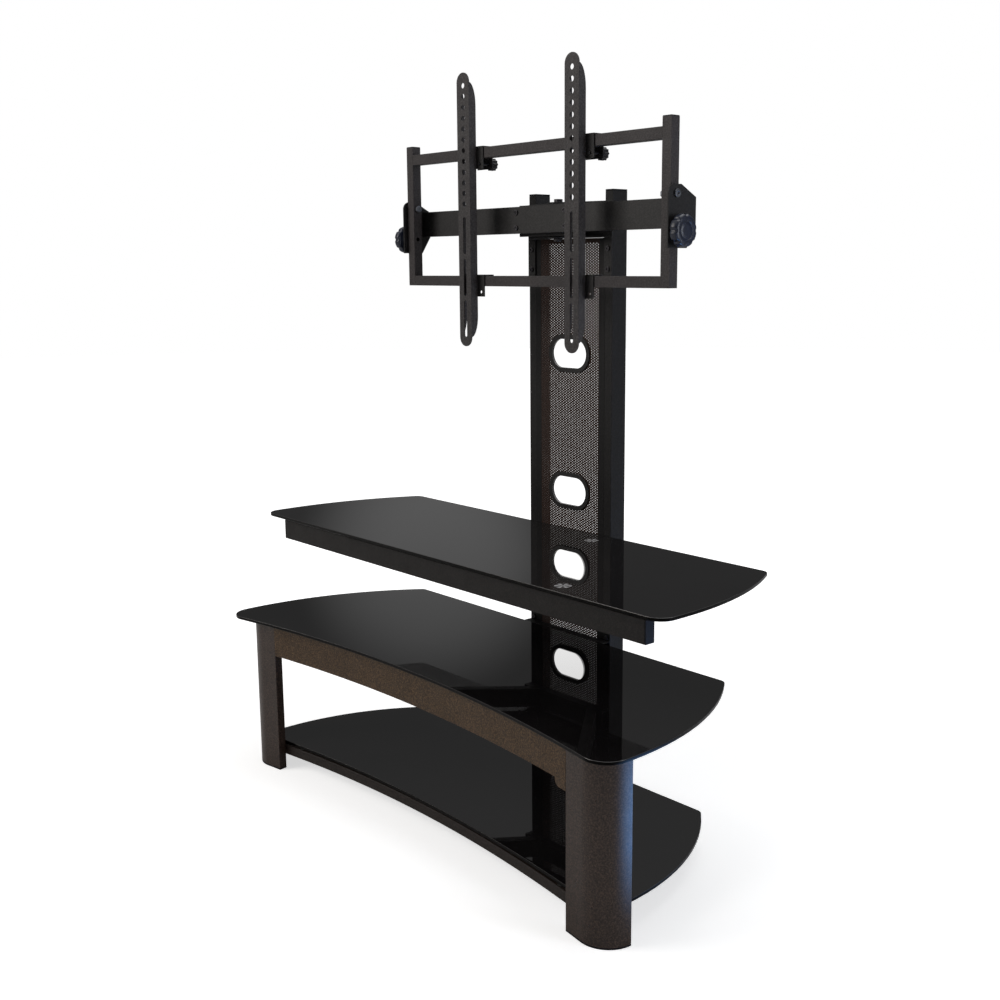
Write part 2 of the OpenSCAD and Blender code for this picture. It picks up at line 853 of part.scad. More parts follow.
module swivel_bracket() {
    back_y = col_y - swivel_plate_t;
    color(black)
        difference() {
            union() {
                translate([-column_half, back_y, bracket_z])
                    cube([column_w, swivel_plate_t, bracket_top - bracket_z]);
                for (x = [-column_half, inner_half])
                    translate([x, back_y, bracket_z - strap_l])
                        cube([upright_w, swivel_plate_t, strap_l]);
                nose_plate(column_half, back_y, bracket_z);
                nose_plate(column_half, back_y, bracket_top - swivel_plate_t);
            }
            strap_bolt_places()
                translate([0, back_y - cut, 0])
                    rotate([-90, 0, 0])
                        cylinder(r = bolt_r + fit, h = swivel_plate_t + 2 * cut, $fn = small);
        }
}

module column_bolts() {
    thread_l = swivel_plate_t - fit;
    color(zinc) {
        strap_bolt_places()
            translate([0, col_y - swivel_plate_t - bolt_head_t, 0])
                rotate([-90, 0, 0])
                    screw(bolt_r, bolt_head_r, bolt_head_t, thread_l);
        for (s = [-1, 1])
            translate([s * (column_half - upright_w / 2), 0, 0]) {
                translate([0, col_y, mid_bolt_z])
                    rotate([90, 0, 0])
                        cylinder(r = bolt_head_r, h = bolt_head_t, $fn = small);
                for (z = [top_support_z + tube_h / 2, mid_support_z + tube_h / 2, rail_z + rail_h / 2])
                    translate([0, col_back_y, z])
                        rotate([-90, 0, 0])
                            cylinder(r = bolt_head_r, h = bolt_head_t, $fn = small);
            }
    }
}

module swivel_bolt() {
    r = swivel_bolt_d / 2;
    color(zinc)
        translate([0, axis_y, 0]) {
            translate([0, 0, bracket_top])
                cylinder(r = swivel_head_r, h = swivel_head_t, $fn = 6);
            translate([0, 0, bracket_z - swivel_head_t])
                cylinder(r = r, h = bracket_top - bracket_z + swivel_head_t + cut, $fn = small);
            translate([0, 0, bracket_z - swivel_head_t])
                cylinder(r = swivel_head_r, h = swivel_head_t, $fn = 6);
        }
}

module swivel_washers() {
    color(clear)
        for (z = [bracket_z + swivel_plate_t, bracket_top - swivel_plate_t - washer_t])
            translate([0, axis_y, z + (z > beam_z ? running_gap / 2 : 0)])
                difference() {
                    cylinder(r = swivel_nose - swivel_plate_t, h = washer_t - running_gap / 2, $fn = fine);
                    translate([0, 0, -cut])
                        cylinder(d = swivel_bolt_d + 2 * pivot_gap, h = washer_t + 2 * cut, $fn = small);
                }
}

module swivel_yoke() {
    web_h = yoke_high_z - yoke_low_z;
    color(black)
        difference() {
            union() {
                translate([-yoke_w / 2, beam_back_y, yoke_low_z])
                    cube([yoke_w, yoke_t, web_h]);
                for (z = [yoke_low_z, yoke_high_z - yoke_t])
                    translate([0, 0, z])
                        linear_extrude(yoke_t) {
                            translate([-yoke_w / 4, beam_back_y])
                                square([yoke_w / 2, yoke_t]);
                            polygon([[-yoke_w / 4, beam_back_y + yoke_t], [yoke_w / 4, beam_back_y + yoke_t],
                                [swivel_nose, axis_y], [-swivel_nose, axis_y]]);
                            translate([0, axis_y])
                                circle(swivel_nose, $fn = fine);
                        }
            }
            translate([0, axis_y, yoke_low_z - cut])
                cylinder(d = swivel_bolt_d + 2 * pivot_gap, h = web_h + 2 * cut, $fn = small);
            beam_bolt_places()
                translate([0, beam_back_y - cut, 0])
                    rotate([-90, 0, 0])
                        cylinder(r = bolt_r + fit, h = yoke_t + 2 * cut, $fn = small);
        }
}

module beam_bolt_places() {
    for (s = [-1, 1], k = [-1, 1])
        translate([s * beam_bolt_x, 0, beam_z + k * beam_bolt_z])
            children();
}

module beam() {
    l = 2 * plate_x;
    color(black)
        difference() {
            translate([0, beam_back_y - beam_d, beam_z - beam_h / 2])
                bar_x(l, beam_d, beam_h, tube_wall);
            beam_bolt_places()
                translate([0, beam_front_y - cut, 0])
                    rotate([-90, 0, 0])
                        cylinder(r = bolt_r + fit, h = beam_d + 2 * cut, $fn = small);
        }
}

module beam_bolts() {
    color(zinc)
        beam_bolt_places()
            translate([0, beam_front_y - bolt_head_t, 0])
                rotate([-90, 0, 0]) {
                    screw(bolt_r, bolt_head_r, bolt_head_t, beam_d + yoke_t);
                    translate([0, 0, bolt_head_t + beam_d + yoke_t])
                        cylinder(r = bolt_head_r, h = nut_t / 2, $fn = 6);
                }
}

// Side plates in the YZ plane, with a bore at the pivot and an arc slot for the knob's stud
module side_plate_shape() {
    top = beam_z + side_plate_up;
    bottom = beam_z - side_plate_down;
    rear = beam_back_y;
    beam_top = beam_z + beam_h / 2;
    beam_low = beam_z - beam_h / 2;
    corner = [for (i = [0:corner_steps]) let (a = 180 - 90 * i / corner_steps)
        [plate_front_y + plate_corner * (1 + cos(a)), top - plate_corner * (1 - sin(a))]];
    polygon(concat([[plate_front_y, bottom]], corner, [[plate_front_y + plate_slant, top], [rear, beam_top],
        [rear, beam_low], [plate_front_y + plate_slant + plate_corner, bottom]]));
}

module stud_slot() {
    half = stud_r + slot_gap;
    extra = asin(slot_gap / knob_drop);
    first = 270 - tilt_up - extra;
    translate([plate_x - cut, pivot_y, pivot_z])
        rotate([90, 0, 90]) {
            rotate([0, 0, first])
                rotate_extrude(angle = tilt_up + tilt_down + 2 * extra, $fn = 4 * fine)
                    translate([knob_drop - half, 0])
                        square([2 * half, side_plate_t + 2 * cut]);
            for (a = [first, first + tilt_up + tilt_down + 2 * extra])
                rotate([0, 0, a])
                    translate([knob_drop, 0, 0])
                        cylinder(r = half, h = side_plate_t + 2 * cut, $fn = fine);
        }
}

module side_plate() {
    difference() {
        translate([plate_x, 0, 0])
            along_x(side_plate_t)
                side_plate_shape();
        translate([plate_x - cut, pivot_y, pivot_z])
            rotate([0, 90, 0])
                cylinder(r = pivot_r + pivot_gap, h = side_plate_t + 2 * cut, $fn = small);
        stud_slot();
    }
}

module right_side_plate() {
    color(black)
        side_plate();
}

module left_side_plate() {
    color(black)
        mirror([1, 0, 0])
            side_plate();
}

module pivot_bolt() {
    outer = plate_x + side_plate_t;
    inner = frame_w / 2 - frame_tube - running_gap;
    translate([0, pivot_y, pivot_z]) {
        translate([outer + pivot_head_t, 0, 0])
            rotate([0, -90, 0])
                difference() {
                    cylinder(r = pivot_head_r, h = pivot_head_t, $fn = small);
                    hex_socket(pivot_head_r * 0.5, pivot_head_t * 0.6);
                }
        translate([inner - nut_t, 0, 0])
            rotate([0, 90, 0])
                cylinder(r = pivot_r, h = outer - inner + nut_t + cut, $fn = small);
        translate([inner - nut_t, 0, 0])
            rotate([0, 90, 0])
                cylinder(r = nut_r, h = nut_t, $fn = 6);
    }
}

module right_pivot_bolt() {
    color(zinc)
        pivot_bolt();
}

module left_pivot_bolt() {
    color(zinc)
        mirror([1, 0, 0])
            pivot_bolt();
}

// Tilting frame
module frame_tube_side() {
    difference() {
        translate([frame_w / 2 - frame_tube, frame_y, frame_bottom_z])
            bar_z(frame_tube, frame_tube, frame_h, tube_wall);
        translate([frame_w / 2 - frame_tube - cut, pivot_y, 0])
            for (p = [[pivot_z, pivot_r + pivot_gap], [knob_z, stud_r + pivot_gap]])
                translate([0, 0, p[0]])
                    rotate([0, 90, 0])
                        cylinder(r = p[1], h = frame_tube + 2 * cut, $fn = small);
    }
}

module right_frame_tube() {
    color(black)
        frame_tube_side();
}

module left_frame_tube() {
    color(black)
        mirror([1, 0, 0])
            frame_tube_side();
}

module frame_top_bar() {
    color(black)
        translate([0, frame_y, top_bar_z])
            bar_x(bar_len, frame_tube, frame_tube, tube_wall);
}

module frame_bottom_bar() {
    color(black)
        translate([0, frame_y, frame_bottom_z])
            bar_x(bar_len, frame_tube, frame_tube, tube_wall);
}

module frame_tube_caps() {
    inset = tube_wall + fit;
    plug = frame_tube - 2 * inset;
    x = frame_w / 2 - frame_tube;
    color(rubber)
        for (s = [0, 1])
            mirror([s, 0, 0]) {
                translate([x, frame_y, frame_top])
                    cube([frame_tube, frame_tube, cap_t / 2]);
                translate([x + inset, frame_y + inset, frame_top - cap_plug])
                    cube([plug, plug, cap_plug]);
                translate([x + inset, frame_y + inset, frame_bottom_z])
                    cube([plug, plug, cap_plug]);
            }
}

// Clamp knobs: a lobed head on a neck, with a stud through the plate's slot into the frame tube
module lobed(core_r, lobe_r, lobes, t) {
    linear_extrude(t) {
        circle(core_r, $fn = fine);
        for (i = [0:lobes - 1])
            rotate(i * 360 / lobes)
                translate([core_r - lobe_r / 4, 0])
                    circle(lobe_r, $fn = small);
    }
}

module tilt_knob() {
    x0 = plate_x + side_plate_t + running_gap;
    stud_in = frame_w / 2 - frame_tube + tube_wall;
    translate([0, pivot_y, knob_z])
        rotate([0, 90, 0]) {
            translate([0, 0, x0])
                cylinder(r = knob_neck_r, h = knob_neck_t, $fn = fine);
            difference() {
                translate([0, 0, x0 + knob_neck_t])
                    lobed(knob_core_r, knob_lobe_r, knob_lobes, knob_t - knob_neck_t);
                translate([0, 0, x0 + knob_t - knob_dish])
                    cylinder(r = knob_dish_r, h = knob_dish + cut, $fn = fine);
            }
            translate([0, 0, stud_in])
                cylinder(r = stud_r, h = x0 - stud_in + cut, $fn = small);
        }
}

module right_tilt_knob() {
    color(rubber)
        tilt_knob();
}

module left_tilt_knob() {
    color(rubber)
        mirror([1, 0, 0])
            tilt_knob();
}

// Screen arms: a slotted face with two flanges that fade out in an arc at both ends
module arm_face() {
    difference() {
        translate([0, arm_bottom_z + arm_l / 2])
            rotate(90)
                obround(arm_l, arm_w);
        for (i = [0:arm_holes - 1])
            translate([0, first_hole_z - i * arm_pitch])
                circle(d = arm_hole_d, $fn = small);
        for (i = [0:arm_slots - 1])
            translate([0, first_slot_z - i * slot_pitch])
                rotate(90)
                    obround(slot_l, slot_w);
    }
}

module flange_shape() {
    depth = arm_d;
    steps = 8;
    ends = [for (i = [0:steps]) let (a = 90 * i / steps) [depth * sin(a), flange_start + (arm_fade - flange_start)
        * (1 - cos(a))]];
    upper = [for (p = ends) [p[0], arm_l - p[1]]];
    lower = [for (i = [steps:-1:0]) ends[i]];
    polygon(concat(upper, lower));
}

module screen_arm(x) {
    color(black)
        translate([x, arm_y, 0]) {
            along_y(arm_t)
                arm_face();
            for (s = [0, 1])
                mirror([s, 0, 0])
                    translate([arm_w / 2 - arm_t, 0, arm_bottom_z])
                        along_x(arm_t)
                            flange_shape();
        }
}

module left_screen_arm() {
    screen_arm(arm_xs[0]);
}

module right_screen_arm() {
    screen_arm(arm_xs[1]);
}

// Clips: a saddle over each bar. Its front leaf is fixed behind the arm, and its tab reaches below the bar.
module clip(x, bar_low_z, rear_tab) {
    top_z = bar_low_z + frame_tube + running_gap;
    low_z = bar_low_z - clip_tab;
    x0 = x + arm_w / 2 + clip_out - clip_w;
    hole_z = bar_low_z - thumb_drop;
    hole_r = rear_tab ? thumb_screw_r + thumb_gap : bottom_hole_r;
    rear_low = rear_tab ? low_z : bar_low_z + frame_tube / 2;
    color(black)
        difference() {
            union() {
                translate([x0, clip_front_y, low_z])
                    cube([clip_w, arm_t, top_z - low_z]);
                translate([x0, clip_front_y, top_z])
                    cube([clip_w, clip_back_y + arm_t - clip_front_y, arm_t]);
                translate([x0, clip_back_y, rear_low])
                    cube([clip_w, arm_t, top_z - rear_low]);
            }
            translate([x + thumb_x, clip_front_y - cut, hole_z])
                rotate([-90, 0, 0])
                    cylinder(r = hole_r, h = clip_back_y - clip_front_y + arm_t + 2 * cut, $fn = small);
        }
}

module left_top_clip() {
    clip(arm_xs[0], top_bar_z, true);
}

module right_top_clip() {
    clip(arm_xs[1], top_bar_z, true);
}

module left_bottom_clip() {
    clip(arm_xs[0], frame_bottom_z, false);
}

module right_bottom_clip() {
    clip(arm_xs[1], frame_bottom_z, false);
}

module thumb_knob(x) {
    screw_l = clip_back_y + arm_t - clip_front_y + running_gap + thumb_screw_r;
    color(rubber)
        translate([x + thumb_x, clip_back_y + arm_t + running_gap, top_bar_z - thumb_drop])
            rotate([-90, 0, 0]) {
                lobed(thumb_d / 2 - thumb_d / 20, thumb_d / 12, thumb_lobes, thumb_t);
                translate([0, 0, -screw_l])
                    cylinder(r = thumb_screw_r, h = screw_l + cut, $fn = small);
            }
}

module left_thumb_knob() {
    thumb_knob(arm_xs[0]);
}

module right_thumb_knob() {
    thumb_knob(arm_xs[1]);
}

left_leg();
right_leg();
leg_glides();
front_apron();
lower_front_rail();
lower_left_strut();
lower_right_strut();
middle_left_strut();
middle_right_strut();
top_left_strut();
top_right_strut();
lower_cross_bar();
middle_cross_bar();
top_cross_bar();
top_front_bar();
front_bar_caps();
lower_glass();
middle_glass();
top_glass();
lower_glass_pads();
middle_glass_pads();
top_glass_pads();
left_upright();
right_upright();
upright_caps();
upright_glides();
mesh_panel();
cable_grommets();
swivel_bracket();
column_bolts();
swivel_bolt();
swivel_washers();
swivel_yoke();
beam();
left_side_plate();
right_side_plate();
beam_bolts();
left_pivot_bolt();
right_pivot_bolt();
left_frame_tube();
right_frame_tube();
frame_top_bar();
frame_bottom_bar();
frame_tube_caps();
left_tilt_knob();
right_tilt_knob();
left_screen_arm();
right_screen_arm();
left_top_clip();
right_top_clip();
left_bottom_clip();
right_bottom_clip();
left_thumb_knob();
right_thumb_knob();
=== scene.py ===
import math

import bpy
from mathutils import Matrix, Vector

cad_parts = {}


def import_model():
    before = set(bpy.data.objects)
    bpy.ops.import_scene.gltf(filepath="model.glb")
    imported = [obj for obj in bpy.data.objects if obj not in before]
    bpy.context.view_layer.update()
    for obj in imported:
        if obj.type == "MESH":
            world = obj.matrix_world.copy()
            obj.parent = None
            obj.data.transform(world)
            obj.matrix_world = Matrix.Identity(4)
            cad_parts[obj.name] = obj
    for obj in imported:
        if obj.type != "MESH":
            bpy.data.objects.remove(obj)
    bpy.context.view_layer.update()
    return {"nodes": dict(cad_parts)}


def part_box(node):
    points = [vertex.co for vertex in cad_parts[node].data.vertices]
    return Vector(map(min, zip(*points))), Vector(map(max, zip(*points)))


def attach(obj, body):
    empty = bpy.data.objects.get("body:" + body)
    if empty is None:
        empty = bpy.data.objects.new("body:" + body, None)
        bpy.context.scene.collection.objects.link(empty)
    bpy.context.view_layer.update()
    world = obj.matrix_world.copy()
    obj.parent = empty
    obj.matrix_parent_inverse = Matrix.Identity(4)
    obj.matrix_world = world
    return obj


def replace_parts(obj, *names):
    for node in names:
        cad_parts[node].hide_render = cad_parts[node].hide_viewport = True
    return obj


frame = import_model()
NODES = frame["nodes"]
MM = 0.001
EPS = 1e-6

# Camera: the photograph's viewing angle, found by fitting the stand's edges
SENSOR_WIDTH, LENS = 36, 44.6476
SHIFT_X, SHIFT_Y = -0.021928, -0.003244
AZIMUTH, PITCH, ROLL = 48.388, 10.494, -0.330
EYE = (1.764154, -1.481973, 1.048458)
CLIP_END = 60


def view_matrix(azimuth, pitch, roll, place):
    az, pi, ro = (math.radians(a) for a in (azimuth, pitch, roll))
    ahead = Vector((-math.sin(az) * math.cos(pi), math.cos(az) * math.cos(pi), -math.sin(pi)))
    right = Vector((math.cos(az), math.sin(az), 0))
    up = right.cross(ahead)
    r2 = right * math.cos(ro) + up * math.sin(ro)
    u2 = up * math.cos(ro) - right * math.sin(ro)
    m = Matrix((r2, u2, -ahead)).transposed().to_4x4()
    m.translation = place
    return m


def place_object(name, data):
    o = bpy.data.objects.new(name, data)
    bpy.context.scene.collection.objects.link(o)
    return o


cam_data = bpy.data.cameras.new("camera")
cam_data.sensor_width = SENSOR_WIDTH
cam_data.lens = LENS
cam_data.shift_x = SHIFT_X
cam_data.shift_y = SHIFT_Y
cam_data.clip_end = CLIP_END
cam = place_object("camera", cam_data)
cam.matrix_world = view_matrix(AZIMUTH, PITCH, ROLL, EYE)
bpy.context.scene.camera = cam
bpy.context.scene.view_settings.view_transform = "Standard"


# Node helpers
class Tree:
    def __init__(self, tree):
        self.t = tree
        tree.nodes.clear()

    def add(self, kind, **set_to):
        n = self.t.nodes.new(kind)
        for k, v in set_to.items():
            setattr(n, k, v)
        return n

    def join(self, out, into):
        self.t.links.new(out, into)

    def put(self, node, key, value):
        s = node.inputs[key]
        if isinstance(value, bpy.types.NodeSocket):
            self.join(value, s)
        else:
            s.default_value = value

    def math(self, op, a, b=None):
        n = self.add("ShaderNodeMath", operation=op)
        for i, v in enumerate((a, b)):
            if v is not None:
                self.put(n, i, v)
        return n.outputs[0]

    def length2(self, a, b):
        return self.math("SQRT", self.math("ADD", self.math("POWER", a, 2.0), self.math("POWER", b, 2.0)))

    def noise(self, vec, scale, detail=3.0, rough=0.55):
        n = self.add("ShaderNodeTexNoise", noise_type="FBM")
        self.put(n, "Scale", scale)
        self.put(n, "Detail", detail)
        self.put(n, "Roughness", rough)
        self.join(vec, n.inputs["Vector"])
        return n.outputs["Fac"]

    def ramp(self, fac, stops):
        n = self.add("ShaderNodeValToRGB")
        e = n.color_ramp.elements
        while len(e) < len(stops):
            e.new(0.5)
        for i, (p, c) in enumerate(stops):
            e[i].position = p
            e[i].color = c if len(c) == 4 else (*c, 1)
        self.put(n, "Fac", fac)
        return n.outputs["Color"]

    def mix(self, fac, a, b, blend="MIX"):
        n = self.add("ShaderNodeMix", data_type="RGBA", blend_type=blend)
        for k, v in ((0, fac), (6, a), (7, b)):
            self.put(n, k, v)
        return n.outputs[2]

    def span(self, v, a0, a1, b0=0.0, b1=1.0, smooth=False):
        n = self.add("ShaderNodeMapRange", interpolation_type="SMOOTHSTEP" if smooth else "LINEAR")
        for k, x in zip(("Value", "From Min", "From Max", "To Min", "To Max"), (v, a0, a1, b0, b1)):
            self.put(n, k, x)
        return n.outputs["Result"]

    def split(self, vec):
        n = self.add("ShaderNodeSeparateXYZ")
        self.join(vec, n.inputs[0])
        return n.outputs

    def output(self):
        return next(n for n in self.t.nodes if n.type == "OUTPUT_MATERIAL").inputs[0]


def grey(v):
    return (v, v, v, 1)


def tint(c, k=1.0):
    return (c[0] * k, c[1] * k, c[2] * k, 1)


def material(name):
    m = bpy.data.materials.new(name)
    m.use_nodes = True
    t = Tree(m.node_tree)
    out = t.add("ShaderNodeOutputMaterial")
    p = t.add("ShaderNodeBsdfPrincipled")
    t.join(p.outputs[0], out.inputs[0])
    pos = t.add("ShaderNodeTexCoord").outputs["Object"]
    return m, t, p, pos


def bump(t, p, height, distance):
    b = t.add("ShaderNodeBump")
    t.put(b, "Strength", 1.0)
    t.put(b, "Distance", distance)
    t.join(height, b.inputs["Height"])
    t.join(b.outputs[0], p.inputs["Normal"])


# Powder coat: broad patches of tone, a fine grain both ways, pale flecks, lighter edges of wear and painted highlight
PATCHES, GRAIN, GLOSS_PATCHES, EDGE_BREAKUP, FLECKS = 9.0, 390.0, 34.0, 60.0, 1400.0
PATCH_SPREAD, PALE_GRAIN, DARK_GRAIN, RUBBED_AND_HIGHLIT, FLECK_TONE = 0.16, 2.3, 0.35, 2.4, 3.2
PALE_SHARE, DARK_SHARE, EDGE_SHARE, FLECK_SIZE = 0.75, 0.8, 0.25, 0.22
GRAIN_DEPTH = 0.00006


def powder(name, colour, rough, spec, speck=1.0, fleck=0.0, metal=0.0):
    m, t, p, pos = material(name)
    fine = t.noise(pos, GRAIN, 2, 0.5)
    col = t.ramp(t.noise(pos, PATCHES, 4, 0.6),
                 [(0.25, tint(colour, 1 - PATCH_SPREAD)), (0.75, tint(colour, 1 + PATCH_SPREAD))])
    col = t.mix(t.span(fine, 0.50, 0.68, 0, PALE_SHARE * speck), col, tint(colour, PALE_GRAIN))
    col = t.mix(t.span(fine, 0.50, 0.34, 0, DARK_SHARE * speck), col, tint(colour, DARK_GRAIN))
    if fleck:
        v = t.add("ShaderNodeTexVoronoi", feature="F1")
        t.put(v, "Scale", FLECKS)
        t.join(pos, v.inputs["Vector"])
        spark = t.math("LESS_THAN", v.outputs["Distance"], FLECK_SIZE)
        col = t.mix(t.math("MULTIPLY", spark, fleck), col, tint(colour, FLECK_TONE))
    # Convex edges painted lighter: partly rubbed wear, partly a painted highlight along the edges
    convex_edges = t.add("ShaderNodeNewGeometry").outputs["Pointiness"]
    wear_and_edge_highlight = t.math("MULTIPLY", t.span(convex_edges, 0.56, 0.66, 0, EDGE_SHARE, True),
                   t.span(t.noise(pos, EDGE_BREAKUP, 3), 0.4, 0.7))
    t.join(t.mix(wear_and_edge_highlight, col, tint(colour, RUBBED_AND_HIGHLIT)), p.inputs["Base Color"])
    t.put(p, "Roughness", t.span(t.noise(pos, GLOSS_PATCHES, 4, 0.6), 0.25, 0.75, rough - 0.05, rough + 0.07))
    p.inputs["Metallic"].default_value = metal
    p.inputs["Specular IOR Level"].default_value = spec
    bump(t, p, fine, GRAIN_DEPTH)
    return m


# Moulded plastic: two near tones and a fine texture
PLASTIC_PATCHES, PLASTIC_GRAIN, PLASTIC_DEPTH = 22.0, 900.0, 0.00003


def plastic(name, colour, rough, spec, tone=None):
    m, t, p, pos = material(name)
    fine = t.noise(pos, PLASTIC_GRAIN, 3, 0.6)
    col = t.ramp(t.noise(pos, PLASTIC_PATCHES, 3), [(0.3, tint(colour, 0.85)), (0.7, tint(tone or colour, 1.15))])
    t.join(col, p.inputs["Base Color"])
    t.put(p, "Roughness", t.span(fine, 0.3, 0.7, rough - 0.06, rough + 0.06))
    p.inputs["Specular IOR Level"].default_value = spec
    bump(t, p, fine, PLASTIC_DEPTH)
    return m


# Plated fasteners
ZINC_PATCHES, ZINC_GLOSS, ZINC_GRAIN, ZINC_DEPTH, ZINC_METAL = 260.0, 90.0, 1500.0, 0.00002, 0.85


def zinc(name, colour, rough):
    m, t, p, pos = material(name)
    col = t.ramp(t.noise(pos, ZINC_PATCHES, 4, 0.65), [(0.3, tint(colour, 0.7)), (0.7, tint(colour, 1.25))])
    t.join(col, p.inputs["Base Color"])
    p.inputs["Metallic"].default_value = ZINC_METAL
    t.put(p, "Roughness", t.span(t.noise(pos, ZINC_GLOSS, 3), 0.3, 0.7, rough - 0.08, rough + 0.1))
    bump(t, p, t.noise(pos, ZINC_GRAIN, 2), ZINC_DEPTH)
    return m


# Black glass: a faint film, a dark rim with a painted bevel highlight, and pads showing through with a painted glint
FILM_DARK, FILM_PALE = (0.0050, 0.0044, 0.0047), (0.0075, 0.0068, 0.0070)
RIM_DARK, RIM_PALE, RIM_ROUGH = (0.003, 0.003, 0.003), (0.008, 0.0075, 0.007), 0.24
BEVEL_HIGHLIGHT, PAD_AND_GLINT_TONE = (0.075, 0.072, 0.07, 1), (0.42, 0.42, 0.43, 1)
GLASS_IOR, GLASS_WAVE = 1.5, 0.00003
PAD_GLINT_RAYS = 6.0


def black_glass(name, pads=()):
    m, t, p, pos = material(name)
    rise = t.split(t.add("ShaderNodeNewGeometry").outputs["Normal"])["Z"]
    rim = t.span(t.math("ABSOLUTE", rise), 0.35, 0.75, 1, 0)
    col = t.ramp(t.noise(pos, 5.0, 3), [(0.3, FILM_DARK), (0.7, FILM_PALE)])
    col = t.mix(rim, col, t.ramp(t.noise(pos, 120.0, 2), [(0.3, RIM_DARK), (0.7, RIM_PALE)]))
    # Painted highlight: a pale line along the glass bevel
    line = t.math("MULTIPLY", t.span(rise, 0.25, 0.45), t.span(rise, 0.97, 0.85))
    col = t.mix(line, col, BEVEL_HIGHLIGHT)
    # Pads under the top glass painted on as pale discs where they show through, with a painted star-shaped glint
    for x, y, r in pads:
        d = t.add("ShaderNodeVectorMath", operation="SUBTRACT")
        t.join(pos, d.inputs[0])
        d.inputs[1].default_value = (x, y, 0)
        s = t.split(d.outputs[0])
        angle = t.math("ARCTAN2", s["Y"], s["X"])
        glint_fan = t.span(t.math("SINE", t.math("MULTIPLY", angle, PAD_GLINT_RAYS)), 0.4, -0.5, 0.25, 1.0, True)
        disc = t.span(t.length2(s["X"], s["Y"]), r * 0.92, r, 1, 0)
        top = t.span(rise, 0.6, 0.9)
        col = t.mix(t.math("MULTIPLY", t.math("MULTIPLY", disc, glint_fan), top), col, PAD_AND_GLINT_TONE)
    t.join(col, p.inputs["Base Color"])
    polish = t.span(t.noise(pos, 14.0, 4, 0.65), 0.3, 0.75, 0.012, 0.035)
    t.put(p, "Roughness", t.math("MAXIMUM", polish, t.math("MULTIPLY", rim, RIM_ROUGH)))
    t.join(rim, p.inputs["Metallic"])
    p.inputs["IOR"].default_value = GLASS_IOR
    bump(t, p, t.noise(pos, 3.0, 1), GLASS_WAVE)
    return m


# Panel paint: the perforated field, and the borders from `edge` outwards
PANEL_GRAIN, PANEL_DEPTH, PANEL_SPEC = 520.0, 0.00002, 0.2


def panel_paint(name, web, border, edge):
    m, t, p, pos = material(name)
    side = t.span(t.math("ABSOLUTE", t.split(pos)["X"]), edge, edge + 0.001)
    fine = t.noise(pos, PANEL_GRAIN, 2, 0.5)
    a = t.ramp(fine, [(0.35, tint(web, 0.7)), (0.65, tint(web, 1.3))])
    b = t.ramp(fine, [(0.35, tint(border, 0.6)), (0.65, tint(border, 1.5))])
    t.join(t.mix(side, a, b), p.inputs["Base Color"])
    t.put(p, "Roughness", t.span(t.noise(pos, GLOSS_PATCHES, 3), 0.25, 0.75, 0.48, 0.6))
    p.inputs["Specular IOR Level"].default_value = PANEL_SPEC
    bump(t, p, fine, PANEL_DEPTH)
    return m


# Clear pads under the glass
PAD_TRANSMISSION, PAD_IOR = 0.08, 1.46


def clear(name):
    m, t, p, pos = material(name)
    col = t.ramp(t.noise(pos, 200.0, 2), [(0.3, (0.80, 0.83, 0.85)), (0.7, (0.95, 0.96, 0.97))])
    t.join(col, p.inputs["Base Color"])
    t.put(p, "Roughness", t.span(t.noise(pos, 500.0, 2), 0.3, 0.7, 0.08, 0.2))
    p.inputs["Transmission Weight"].default_value = PAD_TRANSMISSION
    p.inputs["IOR"].default_value = PAD_IOR
    return m


# Materials; some are lit or shaded copies of one paint
TOP_PADS = [(0.1132, 0.1625, 0.014), (0.3256, -0.1149, 0.015)]
MATS = {
    "black": powder("black_powder", (0.0085, 0.0078, 0.0078), rough=0.5, spec=0.3),
    # Darker copies of the black paint on the front bar and uprights: painted shade
    "bar": powder("bar_powder_painted_shade", (0.0066, 0.0050, 0.0044), rough=0.46, spec=0.26),
    "upright": powder("upright_powder_painted_shade", (0.0055, 0.0050, 0.0051), rough=0.5, spec=0.26),
    # Lighter copies on the frame and arms: painted light; a darker one on the beam: painted shade
    "frame": powder("frame_powder_painted_lit", (0.0325, 0.028, 0.0285), rough=0.52, spec=0.3, speck=0.65),
    "arm": powder("arm_powder_painted_lit", (0.038, 0.0345, 0.035), rough=0.55, spec=0.3, speck=0.6),
    "beam": powder("beam_powder_painted_shade", (0.0105, 0.0096, 0.0096), rough=0.46, spec=0.34),
    "bronze": powder("bronze_powder", (0.059, 0.035, 0.0175), rough=0.44, spec=0.26, fleck=0.12, metal=0.15),
    # Legs: a darker copy of the apron's bronze, painted shade
    "leg": powder("leg_powder_painted_shade", (0.034, 0.0215, 0.0160), rough=0.31, spec=0.42, fleck=0.12, metal=0.15),
    "rail": powder("rail_powder", (0.016, 0.0112, 0.0090), rough=0.42, spec=0.26),
    "under": powder("support_powder", (0.011, 0.010, 0.010), rough=0.55, spec=0.3),
    "panel": panel_paint("panel_powder", (0.026, 0.0115, 0.0070), (0.0070, 0.0066, 0.0068), edge=0.081),
    "cap": plastic("end_cap_plastic", (0.0050, 0.0050, 0.0068), rough=0.55, spec=0.14),
    "grommet": plastic("grommet_plastic", (0.011, 0.0105, 0.0105), rough=0.42, spec=0.35),
    "thumb": plastic("thumb_plastic", (0.005, 0.005, 0.007), rough=0.3, spec=0.4),
    # Knob tinted blue: a painted reflection of the cool window light on black plastic
    "knob": plastic("knob_plastic", (0.009, 0.0125, 0.026), rough=0.34, spec=0.45, tone=(0.011, 0.016, 0.036)),
    "clear": clear("clear_pad"),
    "zinc": zinc("bolt_steel", (0.16, 0.17, 0.19), rough=0.34),
    "dark_zinc": zinc("black_oxide_steel", (0.05, 0.048, 0.052), rough=0.32),
    "top_glass": black_glass("top_shelf_glass", TOP_PADS),
    "glass": black_glass("shelf_glass"),
}
